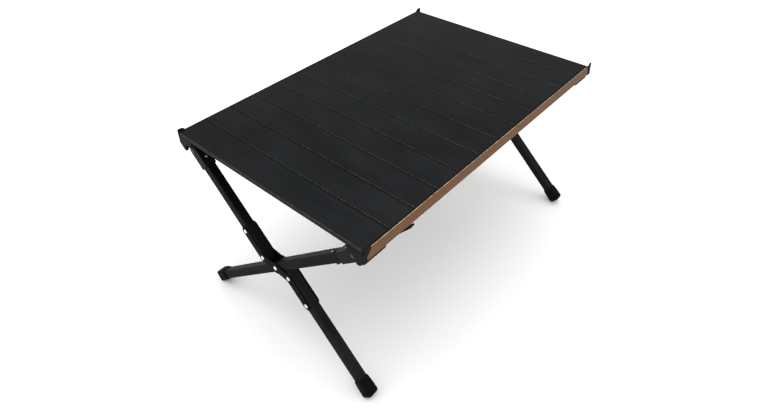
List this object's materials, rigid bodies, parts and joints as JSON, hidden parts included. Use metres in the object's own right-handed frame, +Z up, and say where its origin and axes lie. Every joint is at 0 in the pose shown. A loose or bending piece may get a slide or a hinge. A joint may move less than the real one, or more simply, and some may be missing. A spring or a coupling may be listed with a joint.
{
  "type": "folding camp table",
  "caption": "Low roll-top camp table: a slatted metal top dropped between two rails, on two crossed pairs of folding legs with rubber feet.",
  "frame": {"origin": "on the ground, under the middle of the top", "axes": "+Z up, +X along the slats from the left rail to the right rail, +Y along the rails from the front legs to the rear legs"},
  "size_m": [0.455, 0.694, 0.378],
  "materials": {
    "slat_metal": "black satin anodised",
    "rail_metal": "black satin anodised",
    "lip_metal": "satin bronze anodised",
    "leg_metal": "black satin anodised",
    "plate_metal": "black satin anodised",
    "rivet_metal": "bright",
    "pin_steel": "blackened",
    "stay_steel": "black powder coat",
    "fitting_nylon": "matt",
    "hinge_nylon": "matt",
    "foot_rubber": "matt"
  },
  "bodies": {
    "rail_right": {"rail_right": "rail_metal", "rail_lip_right": "lip_metal", "corner_front_right": "fitting_nylon", "corner_rear_right": "fitting_nylon"},
    "rail_left": {"rail_left": "rail_metal", "rail_lip_left": "lip_metal", "corner_front_left": "fitting_nylon", "corner_rear_left": "fitting_nylon"},
    "hinge_front_right": {"hinge_block_front_right": "hinge_nylon", "fold_pin_front_right": "pin_steel"},
    "hinge_front_left": {"hinge_block_front_left": "hinge_nylon", "fold_pin_front_left": "pin_steel"},
    "straight_leg_front": {"leg_sleeve_front_right": "hinge_nylon", "leg_front_straight": "leg_metal", "foot_front_left": "foot_rubber"},
    "cranked_leg_front": {"leg_sleeve_front_left": "hinge_nylon", "leg_front_upper": "leg_metal", "leg_front_lower": "leg_metal", "foot_front_right": "foot_rubber", "crossing_plate_front_outer": "plate_metal", "crossing_plate_front_inner": "plate_metal", "pivot_rivet_front": "rivet_metal", "plate_rivet_front_1": "rivet_metal", "plate_rivet_front_2": "rivet_metal", "plate_rivet_front_3": "rivet_metal", "plate_rivet_front_4": "rivet_metal"},
    "stay_front_right": {"stay_front_right": "stay_steel"},
    "hinge_rear_right": {"hinge_block_rear_right": "hinge_nylon", "fold_pin_rear_right": "pin_steel"},
    "hinge_rear_left": {"hinge_block_rear_left": "hinge_nylon", "fold_pin_rear_left": "pin_steel"},
    "straight_leg_rear": {"leg_sleeve_rear_right": "hinge_nylon", "leg_rear_straight": "leg_metal", "foot_rear_left": "foot_rubber"},
    "cranked_leg_rear": {"leg_sleeve_rear_left": "hinge_nylon", "leg_rear_upper": "leg_metal", "leg_rear_lower": "leg_metal", "foot_rear_right": "foot_rubber", "crossing_plate_rear_outer": "plate_metal", "crossing_plate_rear_inner": "plate_metal", "pivot_rivet_rear": "rivet_metal", "plate_rivet_rear_1": "rivet_metal", "plate_rivet_rear_2": "rivet_metal", "plate_rivet_rear_3": "rivet_metal", "plate_rivet_rear_4": "rivet_metal"},
    "stay_rear_left": {"stay_rear_left": "stay_steel"},
    "slat_1": {"slat_1": "slat_metal"},
    "slat_2": {"slat_2": "slat_metal"},
    "slat_3": {"slat_3": "slat_metal"},
    "slat_4": {"slat_4": "slat_metal"},
    "slat_5": {"slat_5": "slat_metal"},
    "slat_6": {"slat_6": "slat_metal"},
    "slat_7": {"slat_7": "slat_metal"},
    "slat_8": {"slat_8": "slat_metal"},
    "slat_9": {"slat_9": "slat_metal"},
    "slat_10": {"slat_10": "slat_metal"},
    "slat_11": {"slat_11": "slat_metal"},
    "slat_12": {"slat_12": "slat_metal"}
  },
  "joints": [
    {"name": "top_lift", "type": "slide", "parent": "rail_right", "child": "slat_1", "axis": [0.2079, 0, 0.9782], "range_m": [0, 0.6374]},
    {"name": "roll_1", "type": "hinge", "parent": "slat_1", "child": "slat_2", "pos_m": [0, -0.29, 0.374], "axis": [1, 0, 0], "range_deg": [0, 45.7]},
    {"name": "roll_2", "type": "hinge", "parent": "slat_2", "child": "slat_3", "pos_m": [0, -0.233, 0.374], "axis": [1, 0, 0], "range_deg": [0, 48.3]},
    {"name": "roll_3", "type": "hinge", "parent": "slat_3", "child": "slat_4", "pos_m": [0, -0.176, 0.374], "axis": [1, 0, 0], "range_deg": [0, 51.2]},
    {"name": "roll_4", "type": "hinge", "parent": "slat_4", "child": "slat_5", "pos_m": [0, -0.119, 0.374], "axis": [1, 0, 0], "range_deg": [0, 54.4]},
    {"name": "roll_5", "type": "hinge", "parent": "slat_5", "child": "slat_6", "pos_m": [0, -0.062, 0.374], "axis": [1, 0, 0], "range_deg": [0, 58.1]},
    {"name": "roll_6", "type": "hinge", "parent": "slat_6", "child": "slat_7", "pos_m": [0, -0.005, 0.374], "axis": [1, 0, 0], "range_deg": [0, 62.4]},
    {"name": "roll_7", "type": "hinge", "parent": "slat_7", "child": "slat_8", "pos_m": [0, 0.052, 0.374], "axis": [1, 0, 0], "range_deg": [0, 67.3]},
    {"name": "roll_8", "type": "hinge", "parent": "slat_8", "child": "slat_9", "pos_m": [0, 0.109, 0.374], "axis": [1, 0, 0], "range_deg": [0, 73]},
    {"name": "roll_9", "type": "hinge", "parent": "slat_9", "child": "slat_10", "pos_m": [0, 0.166, 0.374], "axis": [1, 0, 0], "range_deg": [0, 79.67]},
    {"name": "roll_10", "type": "hinge", "parent": "slat_10", "child": "slat_11", "pos_m": [0, 0.223, 0.374], "axis": [1, 0, 0], "range_deg": [0, 88]},
    {"name": "roll_11", "type": "hinge", "parent": "slat_11", "child": "slat_12", "pos_m": [0, 0.28, 0.374], "axis": [1, 0, 0], "range_deg": [0, 98.1]},
    {"name": "swing_front", "type": "hinge", "parent": "rail_right", "child": "hinge_front_right", "pos_m": [0.197, -0.331, 0.3425], "axis": [1, 0, 0], "range_deg": [0, 88]},
    {"name": "fold_front_right", "type": "hinge", "parent": "hinge_front_right", "child": "straight_leg_front", "pos_m": [0.197, -0.331, 0.3425], "axis": [0, -1, 0], "range_deg": [0, 47.1]},
    {"name": "pivot_front", "type": "hinge", "parent": "straight_leg_front", "child": "cranked_leg_front", "pos_m": [0, -0.331, 0.181], "axis": [0, 1, 0], "range_deg": [0, 94.2]},
    {"name": "fold_front_left", "type": "hinge", "parent": "cranked_leg_front", "child": "hinge_front_left", "pos_m": [-0.197, -0.331, 0.3425], "axis": [0, -1, 0], "range_deg": [0, 47.1]},
    {"name": "swing_left", "type": "hinge", "parent": "hinge_front_left", "child": "rail_left", "pos_m": [-0.197, -0.331, 0.3425], "axis": [-1, 0, 0], "range_deg": [0, 88.1]},
    {"name": "stay_front_right_turn", "type": "hinge", "parent": "straight_leg_front", "child": "stay_front_right", "pos_m": [0.15745, -0.331, 0.29611], "axis": [-0.634, 0, 0.7733], "range_deg": [0, 120.7]},
    {"name": "swing_rear", "type": "hinge", "parent": "rail_right", "child": "hinge_rear_right", "pos_m": [0.197, 0.331, 0.3425], "axis": [-1, 0, 0], "range_deg": [0, 68]},
    {"name": "fold_rear_right", "type": "hinge", "parent": "hinge_rear_right", "child": "straight_leg_rear", "pos_m": [0.197, 0.331, 0.3425], "axis": [0, -1, 0], "range_deg": [0, 47.1]},
    {"name": "pivot_rear", "type": "hinge", "parent": "straight_leg_rear", "child": "cranked_leg_rear", "pos_m": [0, 0.331, 0.181], "axis": [0, 1, 0], "range_deg": [0, 94.2]},
    {"name": "fold_rear_left", "type": "hinge", "parent": "cranked_leg_rear", "child": "hinge_rear_left", "pos_m": [-0.197, 0.331, 0.3425], "axis": [0, -1, 0], "range_deg": [0, 47.1]},
    {"name": "stay_rear_left_turn", "type": "hinge", "parent": "cranked_leg_rear", "child": "stay_rear_left", "pos_m": [-0.16144, 0.331, 0.29298], "axis": [0.6961, 0, 0.7179], "range_deg": [0, 120.7]}
  ],
  "couplings": [
    {"joint": "roll_1", "follows": "roll_9", "ratio": 0.57209},
    {"joint": "roll_2", "follows": "roll_9", "ratio": 0.60442},
    {"joint": "roll_3", "follows": "roll_9", "ratio": 0.64063},
    {"joint": "roll_4", "follows": "roll_9", "ratio": 0.68144},
    {"joint": "roll_5", "follows": "roll_9", "ratio": 0.72781},
    {"joint": "roll_6", "follows": "roll_9", "ratio": 0.78095},
    {"joint": "roll_7", "follows": "roll_9", "ratio": 0.84247},
    {"joint": "roll_8", "follows": "roll_9", "ratio": 0.9145},
    {"joint": "roll_10", "follows": "roll_9", "ratio": 1.1031},
    {"joint": "roll_11", "follows": "roll_9", "ratio": 1.23},
    {"joint": "fold_front_right", "follows": "top_lift", "rad_per_m": 1.2871},
    {"joint": "pivot_front", "follows": "top_lift", "rad_per_m": 2.5741},
    {"joint": "fold_front_left", "follows": "top_lift", "rad_per_m": 1.2871},
    {"joint": "swing_left", "follows": "swing_front", "ratio": 1},
    {"joint": "stay_front_right_turn", "follows": "swing_front", "ratio": 1.3704},
    {"joint": "fold_rear_right", "follows": "top_lift", "rad_per_m": 1.2871},
    {"joint": "pivot_rear", "follows": "top_lift", "rad_per_m": 2.5741},
    {"joint": "fold_rear_left", "follows": "top_lift", "rad_per_m": 1.2871},
    {"joint": "stay_rear_left_turn", "follows": "swing_rear", "ratio": 1.7735}
  ]
}
